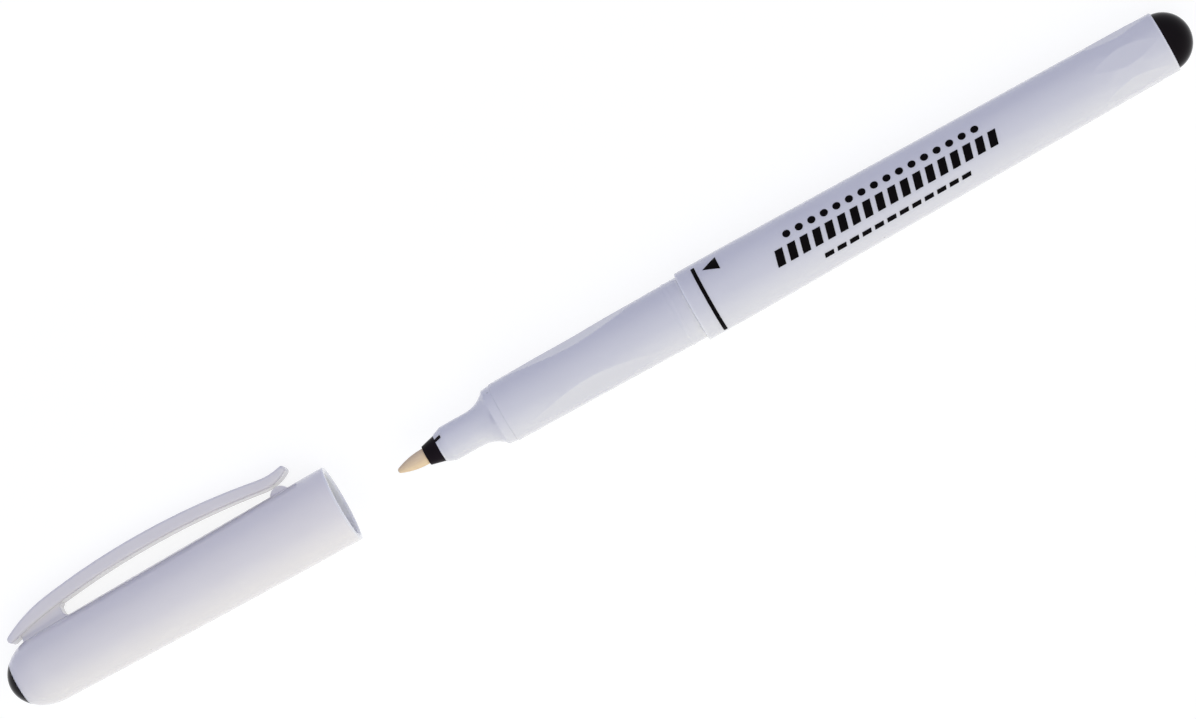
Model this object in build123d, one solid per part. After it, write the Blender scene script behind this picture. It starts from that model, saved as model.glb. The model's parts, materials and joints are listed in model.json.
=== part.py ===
from build123d import *
import os

# Sizes are in millimetres and angles in degrees.
# The pen lies along X with its nib towards +X. The origin is on the pen's axis, in the
# middle of the straight land behind the shoulder. Lengths are counted from the shoulder
# or from the piece they belong to, and roll angles turn from +Z towards -Y.

# Nib
nib_diameter = 2.5
nib_exposed = 4.8
nib_ogive = 4.3
nib_point_diameter = 0.8
nib_point_length = 0.25
nib_insert = 8.0
nib_end_chamfer = 0.4

# Nib holder
holder_face_diameter = 3.1
holder_rim_diameter = 4.25
holder_cone = 2.3
sleeve_wall = 0.43
sleeve_length = 9.5
key_width = 0.53
key_length = 1.05
key_angle = 52.5

# Nose, collar and grip
nose_face_diameter = 4.48
nose_chamfer = 1.4
nose_diameter = 5.55
nose_round = 1.2
nose_length = 4.4
flare_length = 3.65
collar_front_diameter = 8.96
collar_rear_diameter = 9.2
collar_length = 1.35
grip_front_diameter = 9.44
grip_rear_diameter = 10.06
grip_length = 32.0
grip_round = 0.2
click_ring_height = 0.08
click_ring_width = 0.8
click_ring_setback = 2.2
hollow_count = 3
hollow_length = 21.8
hollow_depth = 0.48
hollow_setback = 17.9
hollow_angle = 90.2

# Ink reservoir and the bores that hold it
reservoir_diameter = 6.8
film_thickness = 0.1
reservoir_clearance = 0.2
ledge_width = 1.1
ledge_setback = 3.4
spigot_wall = 0.65
spigot_length = 10.0
spigot_chamfer = 0.4

# Barrel
land_diameter = 11.12
land_length = 8.0
shoulder_round = 0.25
tail_diameter = 9.62
tail_round = 0.2
barrel_length = 79.9
socket_step = 0.16
rib_count = 6
rib_width = 0.8
rib_height = 0.27
rib_root = 0.25
flat_count = 6
flat_length = 10.8
flat_depth = 0.235
flat_setback = 6.3
flat_angle = 28.7

# Tail plug
tail_dome_diameter = 9.0
tail_dome_height = 4.1
tail_stem_length = 9.0
tail_stem_wall = 1.0
tail_hollow_depth = 1.6

# Cap shell
cap_pull = 59.4
cap_stop_gap = 0.1
cap_end_room = 6.95
cap_wall = 0.92
cap_belly_height = 0.1
cap_dome_length = 6.8
crown_wall = 0.65
cap_lead_in = 0.3
cap_rim_round = 0.15
cap_end_wall = 1.15
pip_station = 49.3
pip_width = 2.6
pip_height = 0.74
pip_length = 2.75
pip_root = 0.4

# Cap plug and inner cap
plug_diameter = 6.84
plug_head_length = 2.05
plug_stem_length = 3.2
plug_stem_chamfer = 0.3
inner_wall = 0.68
inner_mouth_gap = 0.6
inner_lead_in = 0.3
flange_lip = 0.2
flange_thickness = 0.8

# Pocket clip, with its stations counted from the cap's closed end
clip_width = 4.0
clip_thickness = 2.14
clip_edge_round = 0.45
clip_heel_station = 3.7
clip_heel_height = 0.88
clip_heel_radius = 0.6
clip_neck_station = 11.0
clip_neck_drop = 1.28
clip_crown_station = 27.3
clip_crown_gap = 2.76
clip_bend_station = 47.2
clip_bend_thickness = 1.8
clip_tip_station = 51.3
clip_tip_height = 2.54
clip_tip_radius = 0.58
clip_seat_gap = 0.08
clip_bend_rise = 0.44
bridge_width = 2.6
bridge_heel = 5.2
bridge_toe = 12.4
bridge_root = 0.35
slot_round = 0.45
clip_angle = 114.5

# Fits, on the radius
press_clearance = 0.01
nib_clearance = 0.02
rib_clearance = 0.05
ring_clearance = 0.07
grip_clearance = 0.16
seal_clearance = 0.05

# Shallowest angle at which a hollow leaves the wall
run_out_angle = 1.0

# Stations along the pen, from the shoulder towards the nib
shoulder = land_length / 2
grip_front = shoulder + grip_length
collar_front = grip_front + collar_length
nose_rear = collar_front + flare_length
nose_shoulder = nose_rear + nose_length
nose_face = nose_shoulder + nose_chamfer
holder_face = nose_face + holder_cone
nib_tip = holder_face + nib_exposed
ledge = grip_front - ledge_setback

# Stations along the pen, from the shoulder towards the tail
land_rear = shoulder - land_length
spigot_rear = shoulder - spigot_length
tail = shoulder - barrel_length
reservoir_rear = tail + tail_stem_length

# Radii from the inside outwards
nib_radius = nib_diameter / 2
sleeve_bore = nib_radius + nib_clearance
sleeve_radius = sleeve_bore + sleeve_wall
nose_bore = sleeve_radius + press_clearance
core_radius = reservoir_diameter / 2
film_radius = core_radius + film_thickness
section_bore = film_radius + reservoir_clearance
spigot_radius = section_bore + spigot_wall
socket_radius = spigot_radius + press_clearance
rib_radius = film_radius + rib_clearance
tail_bore = rib_radius + rib_height
bore_front = socket_radius - socket_step
grip_front_radius = grip_front_diameter / 2
grip_rear_radius = grip_rear_diameter / 2
nose_radius = nose_diameter / 2

# Cap sizes, from its mouth towards its closed end
cap_length = nib_tip - shoulder - cap_stop_gap + cap_end_room
cap_mouth = shoulder + cap_stop_gap + cap_pull
cap_dome = cap_length - cap_dome_length
cap_bore_mouth = grip_rear_radius + click_ring_height + ring_clearance
cap_bore_grip = grip_front_radius + grip_clearance
cap_bore_draft = (cap_bore_mouth - cap_bore_grip) / (grip_length - cap_stop_gap)
cap_bore_dome = cap_bore_mouth - cap_bore_draft * cap_dome
cap_mouth_radius = cap_bore_mouth + cap_wall
crown_radius = cap_bore_dome + crown_wall
plug_seat = cap_length - plug_head_length
cap_floor = plug_seat - cap_end_wall
inner_bore = nose_radius + seal_clearance
inner_radius = inner_bore + inner_wall
inner_mouth = nose_rear + inner_mouth_gap - shoulder - cap_stop_gap
flange_radius = inner_radius + flange_lip
plug_stem_radius = inner_bore - press_clearance


def turned(*edges):
    """Turn a closed profile of stations and radii about the pen's axis."""
    return revolve(make_face(edges), Axis.X)


def broken(profile, *corners):
    """Round the corners of a profile, each given as station, radius and round."""
    for station, radius, size in corners:
        corner = profile.vertices().sort_by_distance((station, radius, 0))[0]
        profile = fillet(corner, size)
    return profile


def at_roll(shape, roll):
    """Turn a shape made on top of the pen to its roll angle."""
    return Rot(X=roll) * shape


def upright(profile, width):
    """Extrude a profile of stations and heights evenly to both sides."""
    return extrude(Plane.XZ * profile, amount=width / 2, both=True)


def disc(radius, start, end):
    """Round bar along the axis between two stations."""
    return Pos(start, 0, 0) * Cylinder(
        radius, end - start, rotation=(0, 90, 0), align=(Align.CENTER, Align.CENTER, Align.MIN)
    )


def line_radius(start, end):
    """Radius of a straight taper, as a function of the station."""
    start_station, start_radius = tuple(start)[:2]
    end_station, end_radius = tuple(end)[:2]
    slope = (end_radius - start_radius) / (end_station - start_station)
    return lambda station: start_radius + slope * (station - start_station)


def lens_cut(wall_radius, middle, length, depth, roll):
    """Cutter for a hollow, flat across and dished along, that runs out into a tapered wall."""
    first = middle - length / 2
    last = middle + length / 2
    low = (first, wall_radius(first))
    high = (last, wall_radius(last))
    along = Vector(high[0] - low[0], high[1] - low[1])
    floor = Spline(
        low,
        (middle, wall_radius(middle) - depth),
        high,
        tangents=[along.rotate(Axis.Z, -run_out_angle), along.rotate(Axis.Z, run_out_angle)],
    )
    top = 2 * wall_radius(middle)
    sides = Polyline(high, (last, top), (first, top), low)
    return at_roll(upright(make_face([floor, sides]), top), roll)


def cap_radius(station):
    """Outer radius of the cap at a station from its closed end, between dome and mouth."""
    share = (station - cap_dome_length) / cap_dome
    straight = crown_radius + (cap_mouth_radius - crown_radius) * share
    return straight + 4 * cap_belly_height * share * (1 - share)


def on_cap(shape):
    """Put a piece made from the cap's mouth where the cap lies."""
    return Pos(cap_mouth, 0, 0) * shape


def make_nib():
    point_radius = nib_point_diameter / 2
    point = nib_tip - nib_point_length
    body_front = point - nib_ogive
    rear = ledge - nib_insert
    ogive = TangentArc((body_front, nib_radius), (point, point_radius), tangent=(1, 0))
    tip = TangentArc((nib_tip, 0), (point, point_radius), tangent=(0, 1))
    outline = Polyline(
        (nib_tip, 0),
        (rear, 0),
        (rear, nib_radius - nib_end_chamfer),
        (rear + nib_end_chamfer, nib_radius),
        (body_front, nib_radius),
    )
    return turned(outline, ogive, tip)


def key_profile(clearance):
    """Side view of the holder's key, whose top follows the chamfer of the nose."""
    rise = (nose_diameter - nose_face_diameter) / 2 / nose_chamfer
    face_radius = nose_face_diameter / 2
    rear = nose_face - key_length - clearance
    return Polyline(
        (nose_face, sleeve_bore + sleeve_wall / 2),
        (nose_face, face_radius),
        (rear, face_radius + rise * (nose_face - rear)),
        (rear, sleeve_bore + sleeve_wall / 2),
        close=True,
    )


def make_nib_holder():
    outline = Polyline(
        (holder_face, sleeve_bore),
        (holder_face, holder_face_diameter / 2),
        (nose_face, holder_rim_diameter / 2),
        (nose_face, sleeve_radius),
        (nose_face - sleeve_length, sleeve_radius),
        (nose_face - sleeve_length, sleeve_bore),
        close=True,
    )
    key = upright(make_face(key_profile(0)), key_width)
    return turned(outline) + at_roll(key, key_angle)


def make_grip_section():
    ring_middle = shoulder + click_ring_setback
    ring_start = ring_middle - click_ring_width / 2
    ring_end = ring_middle + click_ring_width / 2
    grip_radius = line_radius((shoulder, grip_rear_radius), (grip_front, grip_front_radius))
    collar_rear_radius = collar_rear_diameter / 2
    collar_front_radius = collar_front_diameter / 2
    ring = ThreePointArc(
        (ring_start, grip_radius(ring_start)),
        (ring_middle, grip_radius(ring_middle) + click_ring_height),
        (ring_end, grip_radius(ring_end)),
    )
    flare = TangentArc((nose_rear, nose_radius), (collar_front, collar_front_radius), tangent=(-1, 0))
    rear = Polyline(
        (spigot_rear, section_bore),
        (spigot_rear, spigot_radius - spigot_chamfer),
        (spigot_rear + spigot_chamfer, spigot_radius),
        (shoulder, spigot_radius),
        (shoulder, grip_rear_radius),
        (ring_start, grip_radius(ring_start)),
    )
    grip = Polyline(
        (ring_end, grip_radius(ring_end)),
        (grip_front, grip_front_radius),
        (grip_front, collar_rear_radius),
        (collar_front, collar_front_radius),
    )
    nose = Polyline(
        (nose_rear, nose_radius),
        (nose_shoulder, nose_radius),
        (nose_face, nose_face_diameter / 2),
        (nose_face, nose_bore),
        (grip_front, nose_bore),
        (ledge, section_bore - ledge_width),
        (ledge, section_bore),
        (spigot_rear, section_bore),
    )
    profile = broken(
        make_face([rear, ring, grip, flare, nose]),
        (grip_front, grip_front_radius, grip_round / 2),
        (collar_front, collar_front_radius, grip_round),
        (nose_shoulder, nose_radius, nose_round),
    )
    section = revolve(profile, Axis.X)
    for index in range(hollow_count):
        roll = hollow_angle + index * 360 / hollow_count
        section -= lens_cut(grip_radius, shoulder + hollow_setback, hollow_length, hollow_depth, roll)
    slot = upright(make_face(key_profile(press_clearance)), key_width + 2 * press_clearance)
    return section - at_roll(Pos(press_clearance, 0, press_clearance) * slot, key_angle)


def make_barrel():
    land_radius = land_diameter / 2
    tail_radius = tail_diameter / 2
    outline = Polyline(
        (shoulder, socket_radius),
        (shoulder, land_radius),
        (land_rear, land_radius),
        (tail, tail_radius),
        (tail, tail_bore),
        (reservoir_rear, tail_bore),
        (spigot_rear, bore_front),
        (spigot_rear, socket_radius),
        close=True,
    )
    profile = broken(
        make_face(outline),
        (shoulder, land_radius, shoulder_round),
        (tail, tail_radius, tail_round),
    )
    barrel = revolve(profile, Axis.X)
    rib = upright(
        make_face(
            Polyline(
                (reservoir_rear, rib_radius),
                (reservoir_rear, tail_bore + rib_root),
                (spigot_rear, bore_front + rib_root),
                (spigot_rear, rib_radius),
                close=True,
            )
        ),
        rib_width,
    )
    for index in range(rib_count):
        barrel += at_roll(rib, flat_angle + index * 360 / rib_count)
    taper_radius = line_radius((land_rear, land_radius), (tail, tail_radius))
    for index in range(flat_count):
        roll = flat_angle + index * 360 / flat_count
        barrel -= lens_cut(taper_radius, tail + flat_setback, flat_length, flat_depth, roll)
    return barrel


def make_tail_plug():
    stem_radius = tail_bore - press_clearance
    hollow_radius = stem_radius - tail_stem_wall
    dome_radius = tail_dome_diameter / 2
    dome = TangentArc((tail - tail_dome_height, 0), (tail, dome_radius), tangent=(0, 1))
    outline = Polyline(
        (tail, dome_radius),
        (tail, stem_radius),
        (reservoir_rear, stem_radius),
        (reservoir_rear, hollow_radius),
        (tail - tail_hollow_depth, hollow_radius),
        (tail - tail_hollow_depth, 0),
        (tail - tail_dome_height, 0),
    )
    return turned(dome, outline)


def make_ink_reservoir():
    pocket = disc(nib_radius + nib_clearance, ledge - nib_insert - nib_clearance, ledge)
    return disc(core_radius, reservoir_rear, ledge) - pocket


def make_reservoir_film():
    return disc(film_radius, reservoir_rear, ledge) - disc(core_radius, reservoir_rear, ledge)


def cap_form():
    """Outside of the cap as one solid, with the plug's dome in its rounded end."""
    middle = cap_dome / 2
    wall = Bezier(
        (0, cap_mouth_radius),
        (middle, (cap_mouth_radius + crown_radius) / 2 + 2 * cap_belly_height),
        (cap_dome, crown_radius),
    )
    dome = EllipticalCenterArc((cap_dome, 0), cap_dome_length, crown_radius, 0, arc_size=90)
    axis = Polyline((cap_length, 0), (0, 0), (0, cap_mouth_radius))
    profile = broken(make_face([wall, dome, axis]), (0, cap_mouth_radius, cap_rim_round))
    return revolve(profile, Axis.X)


def cap_cavity():
    """Inside of the cap, with a lead-in at its mouth and a rounded floor."""
    start_radius = cap_bore_mouth - cap_bore_draft * cap_lead_in
    floor_radius = flange_radius + reservoir_clearance
    bend = TangentArc((cap_dome, cap_bore_dome), (cap_floor, floor_radius), tangent=(1, -cap_bore_draft))
    outline = Polyline(
        (cap_floor, floor_radius),
        (cap_floor, 0),
        (0, 0),
        (0, cap_bore_mouth + cap_lead_in),
        (cap_lead_in, start_radius),
        (cap_dome, cap_bore_dome),
    )
    return turned(bend, outline)


def from_end(station, radius):
    """Point of the clip's side view, from its station and its distance from the axis."""
    return Vector(cap_length - station, radius)


def closing_arc(start, way, middle, radius):
    """Arc from a point in a given way on to a round, which lies to its left if the radius is positive."""
    left = way.rotate(Axis.Z, 90)
    apart = start - middle
    bend = (radius**2 - apart.dot(apart)) / (2 * (left.dot(apart) + radius))
    centre = start + left * bend
    end = centre - (centre - middle) * (bend / (bend - radius))
    return TangentArc(start, end, tangent=way)


def clip_heel():
    """Middle of the clip's round heel."""
    return from_end(clip_heel_station, crown_radius + clip_heel_height)


def clip_neck():
    """Point of the clip's underside where its neck meets the arch."""
    return from_end(clip_neck_station, cap_radius(clip_crown_station) + clip_crown_gap - clip_neck_drop)


def clip_profile():
    """Side view of the clip: round heel, bent neck, arched back and flared round tip."""
    crown = from_end(clip_crown_station, cap_radius(clip_crown_station) + clip_crown_gap)
    bend = from_end(clip_bend_station, cap_radius(clip_bend_station) + pip_height + clip_bend_rise)
    tip = from_end(clip_tip_station, cap_radius(clip_tip_station) + clip_tip_height)
    thick = Vector(0, clip_thickness)
    belly = ThreePointArc(clip_neck(), crown, bend)
    back = ThreePointArc(clip_neck() + thick, crown + thick, bend + Vector(0, clip_bend_thickness))
    back_tip = closing_arc(back @ 1, back % 1, tip, clip_tip_radius)
    belly_tip = closing_arc(belly @ 1, belly % 1, tip, -clip_tip_radius)
    back_heel = closing_arc(back @ 0, -(back % 0), clip_heel(), -clip_heel_radius)
    belly_heel = closing_arc(belly @ 0, -(belly % 0), clip_heel(), clip_heel_radius)
    tip_round = TangentArc(back_tip @ 1, belly_tip @ 1, tangent=back_tip % 1)
    heel_round = TangentArc(back_heel @ 1, belly_heel @ 1, tangent=back_heel % 1)
    return make_face([back, back_tip, tip_round, belly_tip, belly, belly_heel, heel_round, back_heel])


def make_pocket_clip():
    bar = upright(clip_profile(), clip_width)
    edges = bar.faces().filter_by(Axis.Y).edges()
    return on_cap(at_roll(fillet(edges, clip_edge_round), clip_angle))


def clip_bridge():
    """Web between cap and clip, whose toe is the blunt end of the clip's slot."""
    base = crown_radius - bridge_root
    neck = clip_neck() + Vector(0, clip_thickness / 2)
    top = line_radius(clip_heel(), neck)
    heel_x = cap_length - bridge_heel
    toe_x = cap_length - bridge_toe
    end_x = toe_x - slot_round
    slot_half = (clip_neck().Y - cap_radius(bridge_toe)) / 2
    web = Polyline((heel_x, base), (heel_x, top(heel_x)), (end_x, top(end_x)), (end_x, base), close=True)
    slot_middle = Pos(toe_x - slot_half, cap_radius(bridge_toe) + slot_half)
    slot_end = slot_middle * RectangleRounded(2 * slot_half, 2 * slot_half, slot_round)
    room = offset(clip_profile(), amount=clip_seat_gap)
    return upright(make_face(web), bridge_width) - upright(slot_end + room, clip_width)


def clip_pip():
    """Pip under the clip's tip, round along the cap."""
    rear = pip_station - pip_length / 2
    front = pip_station + pip_length / 2
    wall = cap_radius(pip_station)
    arch = ThreePointArc(from_end(rear, wall), from_end(pip_station, wall + pip_height), from_end(front, wall))
    base = Polyline(arch @ 0, from_end(rear, wall - pip_root), from_end(front, wall - pip_root), arch @ 1)
    return upright(make_face([arch, base]), pip_width)


def make_cap_shell():
    recess = disc(plug_diameter / 2, plug_seat, cap_length)
    hole = disc(plug_stem_radius + press_clearance, cap_floor, plug_seat)
    trim = at_roll(clip_bridge() + clip_pip(), clip_angle)
    return on_cap(cap_form() - cap_cavity() - recess - hole + trim)


def make_cap_plug():
    head = cap_form() & disc(plug_diameter / 2 - press_clearance, plug_seat, cap_length)
    stem = disc(plug_stem_radius, plug_seat - plug_stem_length, plug_seat)
    end = stem.faces().sort_by(Axis.X)[0]
    return on_cap(head + chamfer(end.edges(), plug_stem_chamfer))


def make_inner_cap():
    outline = Polyline(
        (inner_mouth, inner_bore + inner_lead_in),
        (inner_mouth, inner_radius),
        (cap_floor - flange_thickness, inner_radius),
        (cap_floor - flange_thickness, flange_radius),
        (cap_floor, flange_radius),
        (cap_floor, inner_bore),
        (inner_mouth + inner_lead_in, inner_bore),
        close=True,
    )
    return on_cap(turned(outline))


nodes = {
    "nib": make_nib(),
    "nib_holder": make_nib_holder(),
    "grip_section": make_grip_section(),
    "barrel": make_barrel(),
    "tail_plug": make_tail_plug(),
    "ink_reservoir": make_ink_reservoir(),
    "reservoir_film": make_reservoir_film(),
    "cap_shell": make_cap_shell(),
    "pocket_clip": make_pocket_clip(),
    "inner_cap": make_inner_cap(),
    "cap_plug": make_cap_plug(),
}

os.makedirs("parts", exist_ok=True)
for name, shape in nodes.items():
    export_step(shape, f"parts/{name}.step")
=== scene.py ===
import json
from math import atan2, cos, hypot, pi, radians, sin, tan

import bpy
from mathutils import Matrix, Vector


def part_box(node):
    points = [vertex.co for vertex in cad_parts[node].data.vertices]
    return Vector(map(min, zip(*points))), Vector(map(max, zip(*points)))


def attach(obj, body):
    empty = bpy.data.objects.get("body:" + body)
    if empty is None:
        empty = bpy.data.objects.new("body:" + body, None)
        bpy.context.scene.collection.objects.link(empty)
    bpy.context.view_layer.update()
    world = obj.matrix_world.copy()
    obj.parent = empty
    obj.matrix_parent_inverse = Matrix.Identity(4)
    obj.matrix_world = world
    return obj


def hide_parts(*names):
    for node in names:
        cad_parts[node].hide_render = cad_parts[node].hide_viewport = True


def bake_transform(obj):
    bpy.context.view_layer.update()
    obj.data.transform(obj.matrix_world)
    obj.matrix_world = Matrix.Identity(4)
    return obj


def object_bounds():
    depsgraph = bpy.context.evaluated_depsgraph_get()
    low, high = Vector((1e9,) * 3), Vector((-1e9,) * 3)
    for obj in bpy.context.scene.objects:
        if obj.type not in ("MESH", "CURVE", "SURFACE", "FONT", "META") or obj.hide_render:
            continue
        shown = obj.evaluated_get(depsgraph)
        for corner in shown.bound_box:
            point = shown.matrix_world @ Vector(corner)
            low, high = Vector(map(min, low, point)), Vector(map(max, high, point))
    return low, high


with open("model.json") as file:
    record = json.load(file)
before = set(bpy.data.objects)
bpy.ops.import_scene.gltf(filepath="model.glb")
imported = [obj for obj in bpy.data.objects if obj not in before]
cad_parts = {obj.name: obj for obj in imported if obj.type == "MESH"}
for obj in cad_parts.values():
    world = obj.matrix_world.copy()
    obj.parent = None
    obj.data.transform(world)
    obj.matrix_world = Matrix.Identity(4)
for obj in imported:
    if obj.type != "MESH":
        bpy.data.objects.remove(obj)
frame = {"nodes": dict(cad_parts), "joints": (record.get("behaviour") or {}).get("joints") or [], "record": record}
cad_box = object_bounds()
nodes = frame["nodes"]
bpy.context.view_layer.update()


def named(rows, name):
    """Row of the record or the frame that has a name."""
    return next(row for row in rows if row["name"] == name)


# Lengths are in metres. The pen lies along X with its nib towards +X, and roll angles turn
# from +Z towards -Y, as in the CAD source.
MM = 0.001
MERGE = 0.001 * MM
LAND_RADIUS = named(frame["record"]["mounts"], "barrel_land")["dims"]["r_mm"] * MM
OUTSIDE = 4 * LAND_RADIUS
CAP_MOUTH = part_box("cap_shell")[0].x
CAP_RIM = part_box("cap_shell")[1].x
CAP_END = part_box("cap_plug")[1].x
NOSE_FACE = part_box("grip_section")[1].x
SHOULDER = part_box("barrel")[1].x
TAIL_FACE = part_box("barrel")[0].x
FLOOR_HEIGHT = cad_box[0].z
FLOOR_SIZE = 12

# White plastic: painted highlight at its thin rims and painted light in the cap's bore, the round of its edges and
# its specks
HIGHLIGHT_RIMS = (CAP_MOUTH, CAP_RIM, NOSE_FACE, SHOULDER, TAIL_FACE)
RIM_HIGHLIGHT_REACH = 0.45 * MM
HALF_WALL = 0.3 * MM
BORE_WALL = nodes["cap_shell"].ray_cast((CAP_MOUTH + MM, 0, 0), (0, 0, 1))[1]
WALL_MIDDLE = BORE_WALL.z + HALF_WALL
BORE_LIGHT_REACH = 20 * MM
EDGE_ROUND = 0.2 * MM
SPECK_SIZE = 0.035
SPECK_LUCK = 0.62
SPECK_DEPTH = 0.55

# Clip: its hinge gives the heel, and with it the roll of the clip's side
CLIP_HEEL = Vector(named(frame["joints"], "clip_flex")["pos_m"])
CLIP_ROLL = atan2(-CLIP_HEEL.y, CLIP_HEEL.z)
BESIDE_CLIP = CLIP_ROLL + pi / 4
WEB_HEEL = CAP_END - 5.2 * MM
WEB_COVER = 0.04 * MM
SLOT_END = CAP_END - 12.4 * MM - WEB_COVER
SLOT_HEIGHT = 1.76 * MM
SLOT_ROUND = 0.45 * MM
SLOT_SEGMENTS = 8
WEB_WIDTH = 2.6 * MM + 2 * WEB_COVER
WEB_RISE = 0.284
WEB_ROOT = 0.4 * MM
WEB_CUTS = 15
FOOT_FLARE = 0.3 * MM
CLIP_CREASE = 50

# Print on the barrel
INK_PROUD = 0.03 * MM
INK_DEPTH = 0.06 * MM
INK_CREASE = 30
PRINT_PITCH = 2.1 * MM
LINE_STATION = 1.1 * MM
LINE_WIDTH = 0.6 * MM
LINE_ROLLS = (-57.5, 77.5)
ARROW_TIP = -0.17 * MM
ARROW_LENGTH = 2.5 * MM
ARROW_WIDTH = 2.62 * MM
ARROW_ROLL = 61.5
BAR_LEAN = 14
DOT_SIDES = 20

# Camera: how the pen lies in the picture, and from where it is seen
PICTURE_WIDTH = 1196
PIXEL = 0.148 * MM
PICTURE_SLANT = 29.3
VIEW_ROLL = 16.5
VIEW_LEAN = 3.3
VIEW_DISTANCE = 0.93
PICTURE_MIDDLE = Vector((19.9 * MM, 0, 0))
SENSOR = 36

# Light: how far each lamp stands from the line of sight, and how the floor shows as paper
FRONT_LAMP_ANGLE = 23
SIDE_LAMP_ANGLE = 97
LAMP_LENGTH = 1.6
PAPER_GLOW = 1.32
GLOW_SHARE = 0.65


class Socket:
    """A node's output that takes part in Python sums, each of which adds its Math node."""

    def __init__(self, finish, socket):
        self.finish = finish
        self.socket = socket

    def math(self, operation, first, second=None):
        terms = {0: first} if second is None else {0: first, 1: second}
        return self.finish.add("ShaderNodeMath", {"operation": operation}, terms)

    def __add__(self, other):
        return self.math("ADD", self, other)

    def __sub__(self, other):
        return self.math("SUBTRACT", self, other)

    def __rsub__(self, other):
        return self.math("SUBTRACT", other, self)

    def __mul__(self, other):
        return self.math("MULTIPLY", self, other)

    def __lt__(self, other):
        return self.math("LESS_THAN", self, other)

    def __gt__(self, other):
        return self.math("GREATER_THAN", self, other)

    def __abs__(self):
        return self.math("ABSOLUTE", self)

    __radd__ = __add__
    __rmul__ = __mul__


class NodeTree:
    """A tree of nodes, which all come from add."""

    def __init__(self, tree):
        self.tree = tree

    def fill(self, node, inputs):
        for name, value in inputs.items():
            if isinstance(value, Socket):
                self.tree.links.new(value.socket, node.inputs[name])
            else:
                node.inputs[name].default_value = value

    def add(self, kind, settings=None, inputs=None, output=0):
        """New node of a type: first its settings, then the values or links of its sockets."""
        node = self.tree.nodes.new(kind)
        for name, value in (settings or {}).items():
            setattr(node, name, value)
        self.fill(node, inputs or {})
        return Socket(self, node.outputs[output])

    def blend(self, share, first, second):
        """Colour between two others."""
        settings = {"data_type": "RGBA"}
        inputs = {"Factor": share, 6: first, 7: second}
        return self.add("ShaderNodeMix", settings, inputs, 2)

    def seen(self):
        """1 for rays that show the background, straight or mirrored, and 0 for all others."""
        rays = ("Is Camera Ray", "Is Glossy Ray", "Is Transmission Ray")
        return sum((self.add("ShaderNodeLightPath", output=ray) for ray in rays), 0)


class Finish(NodeTree):
    """A material, which dress puts on pieces."""

    def __init__(self, name):
        self.material = bpy.data.materials.new(name)
        self.material.use_nodes = True
        super().__init__(self.material.node_tree)
        self.shader = self.tree.nodes["Principled BSDF"]
        self.place = self.add("ShaderNodeTexCoord", output="Object")

    def set(self, **inputs):
        """Values or links of the shader's own sockets, named with _ for a space."""
        self.fill(self.shader, {name.replace("_", " "): value for name, value in inputs.items()})

    def stretched(self, scale):
        """Object coordinates with a scale of their own on each axis."""
        return self.add("ShaderNodeMapping", {}, {"Vector": self.place, "Scale": scale})

    def station(self):
        """Place along the pen."""
        return self.add("ShaderNodeSeparateXYZ", {}, {"Vector": self.place}, "X")

    def radius(self):
        """Distance from the pen's axis."""
        across = self.stretched((0, 1, 1))
        return self.add("ShaderNodeVectorMath", {"operation": "LENGTH"}, {0: across}, "Value")

    def near(self, place, middle, reach):
        """1 at a place, falling softly to 0 at a distance from it."""
        settings = {"interpolation_type": "SMOOTHSTEP"}
        inputs = {"Value": abs(place - middle), "From Max": reach, "To Min": 1, "To Max": 0}
        return self.add("ShaderNodeMapRange", settings, inputs)

    def noise(self, scale, detail=2.0, where=None):
        inputs = {"Vector": where or self.place, "Scale": scale, "Detail": detail}
        return self.add("ShaderNodeTexNoise", {}, inputs, "Fac")

    def cells(self, scale):
        """Distance to the nearest of many scattered points."""
        inputs = {"Vector": self.place, "Scale": scale}
        return self.add("ShaderNodeTexVoronoi", {}, inputs, "Distance")

    def bump(self, height, distance, strength, normal=None):
        inputs = {"Height": height, "Distance": distance, "Strength": strength}
        if normal:
            inputs["Normal"] = normal
        return self.add("ShaderNodeBump", {}, inputs, "Normal")

    def dress(self, *pieces):
        for piece in pieces:
            piece.data.materials.clear()
            piece.data.materials.append(self.material)


def colour(red, green, blue):
    return (red, green, blue, 1)


def painted_rim_and_bore_light(finish, tone):
    """Paler tone at the rims and in the cap's bore: painted highlight at the rims and painted light in the bore,
    where light comes through the wall.
    """
    along = finish.station()
    rims = sum((finish.near(along, rim, RIM_HIGHLIGHT_REACH) for rim in HIGHLIGHT_RIMS), 0)
    hollow = (along > CAP_MOUTH) * (finish.radius() < WALL_MIDDLE)
    bore = hollow * finish.near(along, CAP_MOUTH, BORE_LIGHT_REACH)
    # Painted highlight: the base colour is paler near each rim
    rim_highlight_tone = finish.blend(rims, tone, colour(0.95, 0.945, 0.955))
    # Painted light: the base colour is paler in the cap's bore, as if lit through the wall
    return finish.blend(bore, rim_highlight_tone, colour(0.985, 0.98, 0.975))


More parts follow.
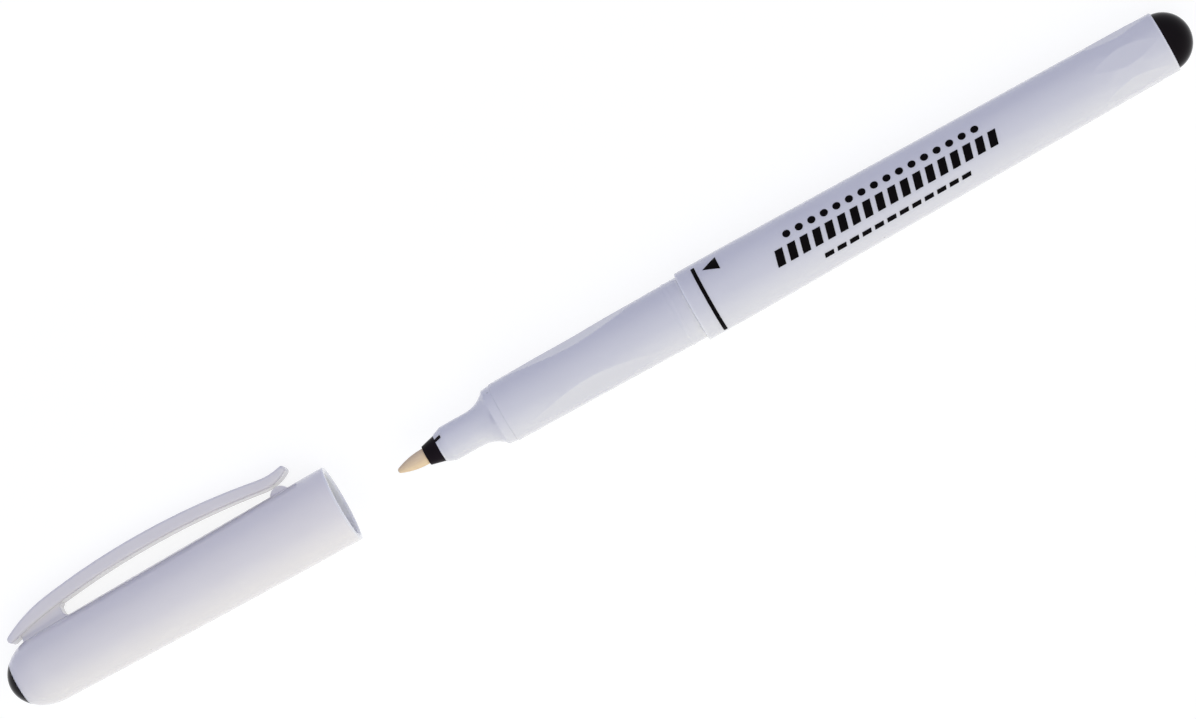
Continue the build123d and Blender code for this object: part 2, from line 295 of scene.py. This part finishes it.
def moulded_white(name, light, shade, gloss, thin=True):
    """White polypropylene: a cloudy tint, a fine skin, soft sinks and edges, rare specks and, if thin, painted rim
    highlight and bore light.
    """
    finish = Finish(name)
    cloud = finish.noise(scale=120, detail=4)
    tone = finish.blend(cloud, light, shade)
    luck = finish.noise(scale=90, detail=1)
    speck = (finish.cells(scale=260) < SPECK_SIZE) * (luck > SPECK_LUCK)
    # Pieces marked thin get the painted highlight at the rims and the painted light in the cap's bore
    clean = painted_rim_and_bore_light(finish, tone) if thin else tone
    skin = finish.noise(scale=9000)
    sink = finish.noise(scale=140, detail=1)
    rub = finish.noise(scale=1, detail=3, where=finish.stretched((60, 900, 900)))
    edges = finish.add("ShaderNodeBevel", {"samples": 8}, {"Radius": EDGE_ROUND}, "Normal")
    waves = finish.bump(sink, distance=0.05 * MM, strength=0.08, normal=edges)
    finish.set(
        Base_Color=finish.blend(speck * SPECK_DEPTH, clean, colour(0.2, 0.18, 0.17)),
        Roughness=gloss + rub * 0.1,
        Normal=finish.bump(skin, distance=0.002 * MM, strength=0.2, normal=waves),
        IOR=1.49,
        Coat_Weight=0.6,
        Coat_Roughness=0.1,
        Subsurface_Weight=0.4,
        Subsurface_Radius=(1, 1, 1),
        Subsurface_Scale=1.2 * MM,
    )
    return finish


def moulded_black(name, tone, gloss):
    """Black polypropylene: a glossy skin with faint clouds and fine rubs."""
    finish = Finish(name)
    cloud = finish.noise(scale=350, detail=4)
    cloud_tone = colour(*(2.2 * part for part in tone[:3]))
    rub = finish.noise(scale=1, detail=3, where=finish.stretched((1400, 300, 300)))
    skin = finish.noise(scale=5000)
    finish.set(
        Base_Color=finish.blend(cloud, tone, cloud_tone),
        Roughness=gloss + rub * 0.08,
        Normal=finish.bump(skin, distance=0.001 * MM, strength=0.2),
        IOR=1.15,
    )
    return finish


def bonded_fibre(name, light, dark, fineness):
    """Fibres bonded into a rod: streaks along X, with matt pores between them."""
    finish = Finish(name)
    streak = finish.noise(scale=1, detail=5, where=finish.stretched((300, fineness, fineness)))
    pore = finish.noise(scale=7000, detail=3)
    cloud = finish.noise(scale=500)
    shade = streak * 0.6 + cloud * 0.4
    finish.set(
        Base_Color=finish.blend(shade, light, dark),
        Roughness=0.8 + pore * 0.15,
        Normal=finish.bump(streak + pore * 0.4, distance=0.03 * MM, strength=0.6),
    )
    return finish


def printing_ink(name):
    """Black pad-printed ink: a thin film, matt in patches, through which a little white shows."""
    finish = Finish(name)
    thin = finish.noise(scale=2600, detail=3)
    patch = finish.noise(scale=700)
    full, faint = colour(0.0015, 0.001, 0.0015), colour(0.006, 0.005, 0.006)
    finish.set(
        Base_Color=finish.blend(thin, full, faint),
        Roughness=0.42 + patch * 0.2,
        Normal=finish.bump(thin, distance=0.006 * MM, strength=0.4),
        IOR=1.1,
    )
    return finish


def dress_cad_nodes():
    """Finish the CAD nodes that show as they are."""
    pen = moulded_white(
        "pen_white",
        light=colour(0.80, 0.796, 0.825),
        shade=colour(0.765, 0.76, 0.792),
        gloss=0.15,
    )
    pen.dress(nodes["grip_section"], nodes["barrel"])
    # Painted light: the cap is the pen's white plastic, painted lighter and warmer where it catches more light
    cap = moulded_white(
        "cap_white_painted_lighter",
        light=colour(0.90, 0.865, 0.85),
        shade=colour(0.865, 0.83, 0.815),
        gloss=0.15,
    )
    cap.dress(nodes["cap_shell"])
    plug = moulded_black("black_plug", tone=colour(0.004, 0.0025, 0.0035), gloss=0.1)
    plug.dress(nodes["tail_plug"], nodes["cap_plug"])
    holder = moulded_black("black_holder", tone=colour(0.005, 0.003, 0.005), gloss=0.34)
    holder.dress(nodes["nib_holder"])
    nib = bonded_fibre(
        "nib_fibre",
        light=colour(0.98, 0.80, 0.55),
        dark=colour(0.86, 0.62, 0.36),
        fineness=5200,
    )
    nib.dress(nodes["nib"])
    rod = bonded_fibre(
        "reservoir_fibre",
        light=colour(0.88, 0.88, 0.86),
        dark=colour(0.70, 0.70, 0.70),
        fineness=3000,
    )
    rod.dress(nodes["ink_reservoir"], nodes["reservoir_film"])
    seal = moulded_white(
        "seal_plastic",
        light=colour(0.80, 0.79, 0.77),
        shade=colour(0.74, 0.73, 0.71),
        gloss=0.4,
    )
    seal.dress(nodes["inner_cap"])


def clip_white():
    """White of the clip, whose mesh moves with its joints, so that it gets none of the painted light that goes by
    station.
    """
    return moulded_white(
        "clip_white",
        light=colour(0.84, 0.81, 0.80),
        shade=colour(0.805, 0.775, 0.765),
        gloss=0.12,
        thin=False,
    )


def start_piece(name, primitive, **sizes):
    """Add a primitive while nothing else is selected."""
    bpy.ops.object.select_all(action="DESELECT")
    primitive(**sizes)
    bpy.context.object.name = name
    return bpy.context.object


def edit(piece, *steps):
    """Take edit-mode steps on all of a piece, each an operator and its settings."""
    bpy.ops.object.select_all(action="DESELECT")
    bpy.context.view_layer.objects.active = piece
    piece.select_set(True)
    bpy.ops.object.mode_set(mode="EDIT")
    bpy.ops.mesh.select_all(action="SELECT")
    for operator, settings in steps:
        operator(**settings)
    bpy.ops.object.mode_set(mode="OBJECT")


def reshape(piece, move):
    """Put every point of a piece where move says."""
    for vertex in piece.data.vertices:
        vertex.co = move(vertex.co)


def finish_with(piece, kind, **settings):
    """Add a modifier to a piece and apply it."""
    modifier = piece.modifiers.new("step", kind)
    for name, value in settings.items():
        setattr(modifier, name, value)
    bpy.context.view_layer.objects.active = piece
    bpy.ops.object.modifier_apply(modifier=modifier.name)


def smooth(piece, angle):
    """Shade a piece smooth, apart from edges sharper than an angle."""
    bpy.ops.object.select_all(action="DESELECT")
    bpy.context.view_layer.objects.active = piece
    piece.select_set(True)
    bpy.ops.object.shade_smooth_by_angle(angle=radians(angle))


def outwards(roll):
    """Unit vector from the axis at a roll angle."""
    return Vector((0, -sin(roll), cos(roll)))


def on_wall(node, station, roll):
    """Point of a node's outer wall."""
    start = Vector((station, 0, 0)) + outwards(roll) * OUTSIDE
    return nodes[node].ray_cast(start, -outwards(roll))[1]


def web_block():
    """Web under the clip's neck, drawn with the clip upwards. It flares where it meets the cap."""
    web = start_piece("clip_web", bpy.ops.mesh.primitive_cube_add, size=1)
    edit(web, (bpy.ops.mesh.subdivide, {"number_cuts": WEB_CUTS}))
    heel_height = hypot(CLIP_HEEL.y, CLIP_HEEL.z)
    start = SLOT_END - SLOT_ROUND

    def shape(point):
        station = start + (WEB_HEEL - start) * (point.x + 0.5)
        place = on_wall("cap_shell", station, BESIDE_CLIP)
        cap_height = hypot(place.y, place.z)
        top = heel_height + WEB_RISE * (CLIP_HEEL.x - station)
        base = cap_height - WEB_ROOT
        # The rows crowd towards the foot, where the flare is
        height = base + (top - base) * (point.z + 0.5) ** 2
        near = max(0, 1 - max(0, height - cap_height) / (2 * FOOT_FLARE))
        return Vector((station, point.y * (WEB_WIDTH + 2 * FOOT_FLARE * near**2), height))

    reshape(web, shape)
    return web


def slot_cutter():
    """Blunt end of the slot under the clip, with rounded corners."""
    place = on_wall("cap_shell", SLOT_END, BESIDE_CLIP)
    middle = Vector((SLOT_END - SLOT_HEIGHT / 2, 0, hypot(place.y, place.z) + SLOT_HEIGHT / 2))
    cutter = start_piece("slot_cutter", bpy.ops.mesh.primitive_cube_add, size=1)
    size = Vector((SLOT_HEIGHT, 4 * WEB_WIDTH, SLOT_HEIGHT))
    reshape(cutter, lambda point: middle + size * point)
    finish_with(cutter, "BEVEL", width=SLOT_ROUND, segments=SLOT_SEGMENTS)
    return cutter


def pocket_clip():
    """The clip in one moulding with the web that carries it, as on the real pen, whose clip bends at its root."""
    clip = bpy.data.objects.new("clip_moulding", nodes["pocket_clip"].data.copy())
    bpy.context.scene.collection.objects.link(clip)
    edit(
        clip,
        (bpy.ops.mesh.customdata_custom_splitnormals_clear, {}),
        (bpy.ops.mesh.remove_doubles, {"threshold": MERGE}),
    )
    web = web_block()
    cutter = slot_cutter()
    finish_with(web, "BOOLEAN", operation="DIFFERENCE", object=cutter)
    web.data.transform(Matrix.Rotation(CLIP_ROLL, 4, "X"))
    finish_with(clip, "BOOLEAN", operation="UNION", object=web)
    bpy.data.objects.remove(cutter)
    bpy.data.objects.remove(web)
    smooth(clip, CLIP_CREASE)
    finish_with(clip, "WEIGHTED_NORMAL", weight=100, keep_sharp=True)
    clip_white().dress(clip)
    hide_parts("pocket_clip")
    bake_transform(clip)


def flat_grid(name, columns, rows):
    """Flat grid of unit size, to be shaped into a mark."""
    settings = {"x_subdivisions": columns, "y_subdivisions": rows, "size": 1}
    return start_piece(name, bpy.ops.mesh.primitive_grid_add, **settings)


def print_mark(mark, ink):
    """Lay a flat mark on the barrel as a film of ink: its Y runs round the barrel from the top."""

    def wrap(point):
        roll = point.y / LAND_RADIUS
        return on_wall("barrel", point.x, roll) + outwards(roll) * INK_PROUD

    reshape(mark, wrap)
    edit(mark, (bpy.ops.mesh.normals_make_consistent, {"inside": False}))
    finish_with(mark, "SOLIDIFY", thickness=INK_DEPTH, offset=-1)
    smooth(mark, INK_CREASE)
    ink.dress(mark)
    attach(mark, "pen")


def index_line(ink):
    """Line round the barrel behind its shoulder."""
    line = flat_grid("index_line", columns=2, rows=72)
    low, high = (radians(roll) * LAND_RADIUS for roll in LINE_ROLLS)

    def shape(point):
        round_barrel = low + (high - low) * (point.y + 0.5)
        return Vector((LINE_STATION + LINE_WIDTH * point.x, round_barrel, 0))

    reshape(line, shape)
    print_mark(line, ink)


def index_arrow(ink):
    """Triangle that points at the line."""
    arrow = flat_grid("index_arrow", columns=12, rows=12)
    middle = radians(ARROW_ROLL) * LAND_RADIUS

    def shape(point):
        back = 0.5 - point.x
        round_barrel = middle + ARROW_WIDTH * back * point.y
        return Vector((ARROW_TIP - ARROW_LENGTH * back, round_barrel, 0))

    reshape(arrow, shape)
    edit(arrow, (bpy.ops.mesh.remove_doubles, {"threshold": MERGE}))
    print_mark(arrow, ink)


def print_row(mark, ink, count):
    """Repeat a flat mark along the barrel and print the row."""
    finish_with(
        mark,
        "ARRAY",
        count=count,
        use_relative_offset=False,
        use_constant_offset=True,
        constant_offset_displace=(-PRINT_PITCH, 0, 0),
    )
    print_mark(mark, ink)


def flat_bar(name, roll, front, length, height):
    """Slanted bar, before it is laid on the barrel."""
    bar = flat_grid(name, columns=2, rows=10)
    middle = Vector((front - length / 2, radians(roll) * LAND_RADIUS, 0))
    slide = tan(radians(BAR_LEAN)) * height

    def shape(point):
        return middle + Vector((length * point.x - slide * point.y, height * point.y, 0))

    reshape(bar, shape)
    return bar


def flat_dot(name, roll, front, radius):
    """Round dot, before it is laid on the barrel."""
    settings = {"vertices": DOT_SIDES, "radius": radius, "fill_type": "TRIFAN"}
    dot = start_piece(name, bpy.ops.mesh.primitive_circle_add, **settings)
    middle = Vector((front - radius, radians(roll) * LAND_RADIUS, 0))
    reshape(dot, lambda point: middle + point)
    return dot


def print_barrel():
    """Print the index marks and three plain rows on the barrel."""
    ink = printing_ink("black_ink")
    index_line(ink)
    index_arrow(ink)
    dots = flat_dot("printed_dots", roll=45, front=-13 * MM, radius=0.62 * MM)
    print_row(dots, ink, count=16)
    bar_size = {"length": 1.3 * MM, "height": 2.5 * MM}
    print_row(flat_bar("printed_bars", roll=16, front=-10.5 * MM, **bar_size), ink, count=18)
    dash_size = {"length": 1.5 * MM, "height": 0.8 * MM}
    print_row(flat_bar("printed_dashes", roll=-18, front=-17 * MM, **dash_size), ink, count=12)


def along_view():
    """Unit vectors of the picture: to the right, upwards and towards the camera."""
    roll = radians(VIEW_ROLL)
    slant = radians(PICTURE_SLANT)
    lean = radians(VIEW_LEAN)
    tailwards = Vector((-1, 0, 0))
    toward = outwards(roll) * cos(lean) + tailwards * sin(lean)
    along = tailwards * cos(lean) - outwards(roll) * sin(lean)
    across = toward.cross(along)
    right = along * cos(slant) - across * sin(slant)
    up = along * sin(slant) + across * cos(slant)
    return right, up, toward


def place_camera():
    """Camera at the picture's distance, with the pen at its size and place in the picture."""
    right, up, toward = along_view()
    camera = bpy.data.objects.new("camera", bpy.data.cameras.new("camera"))
    bpy.context.scene.collection.objects.link(camera)
    camera.data.sensor_width = SENSOR
    camera.data.lens = SENSOR * VIEW_DISTANCE / (PICTURE_WIDTH * PIXEL)
    turn = Matrix((right, up, toward)).transposed().to_4x4()
    camera.matrix_world = Matrix.Translation(PICTURE_MIDDLE + toward * VIEW_DISTANCE) @ turn
    bpy.context.scene.camera = camera


def lay_floor():
    """Pale floor, seen as white paper with the pen's shadow on it."""
    settings = {"size": FLOOR_SIZE, "location": (0, 0, FLOOR_HEIGHT)}
    floor = start_piece("floor", bpy.ops.mesh.primitive_plane_add, **settings)
    paper = Finish("floor_paper")
    grain = paper.noise(scale=900)
    paper.set(
        Base_Color=paper.blend(grain, colour(0.57, 0.58, 0.60), colour(0.60, 0.61, 0.63)),
        Roughness=0.9,
    )
    white = {"Color": colour(1, 1, 1), "Strength": PAPER_GLOW}
    glow = paper.add("ShaderNodeEmission", {}, white)
    matt = Socket(paper, paper.shader.outputs[0])
    mix = {0: paper.seen() * GLOW_SHARE, 1: matt, 2: glow}
    shown = paper.add("ShaderNodeMixShader", {}, mix)
    paper.tree.links.new(shown.socket, paper.tree.nodes["Material Output"].inputs["Surface"])
    paper.dress(floor)


def light_world(level, tint):
    """Even soft light from all round, which is seen as white."""
    world = bpy.data.worlds.new("studio")
    world.use_nodes = True
    bpy.context.scene.world = world
    sky = NodeTree(world.node_tree)
    light = colour(*(level * part for part in tint))
    shown = sky.blend(sky.seen(), light, colour(1, 1, 1))
    sky.fill(sky.tree.nodes["Background"], {"Color": shown})


def hang_lamp(name, direction, height, power, tint):
    """Soft lamp, a metre away, that faces the object's middle and isn't mirrored in it."""
    lamp = bpy.data.objects.new(name, bpy.data.lights.new(name, "AREA"))
    bpy.context.scene.collection.objects.link(lamp)
    lamp.data.shape = "RECTANGLE"
    lamp.data.size = LAMP_LENGTH
    lamp.data.size_y = height
    lamp.data.energy = power
    lamp.data.color = tint
    lamp.visible_glossy = False
    away = direction.normalized()
    lamp.location = PICTURE_MIDDLE + away
    lamp.rotation_euler = away.to_track_quat("Z", "Y").to_euler()


def light_studio():
    """Cool light from all round, with a warm lamp at the front and a low one at the side."""
    right, up, toward = along_view()
    slant = radians(PICTURE_SLANT)
    across = up * cos(slant) - right * sin(slant)

    def beside_view(angle):
        return toward * cos(radians(angle)) - across * sin(radians(angle))

    light_world(level=0.36, tint=(0.78, 0.84, 1.52))
    front, side = beside_view(FRONT_LAMP_ANGLE), beside_view(SIDE_LAMP_ANGLE)
    hang_lamp("front", front, height=1.6, power=7.5, tint=(1, 0.985, 0.63))
    hang_lamp("side", side, height=0.2, power=4.0, tint=(1, 0.97, 0.60))


dress_cad_nodes()
pocket_clip()
print_barrel()
lay_floor()
light_studio()
place_camera()

bpy.context.scene.view_settings.view_transform = "Standard"
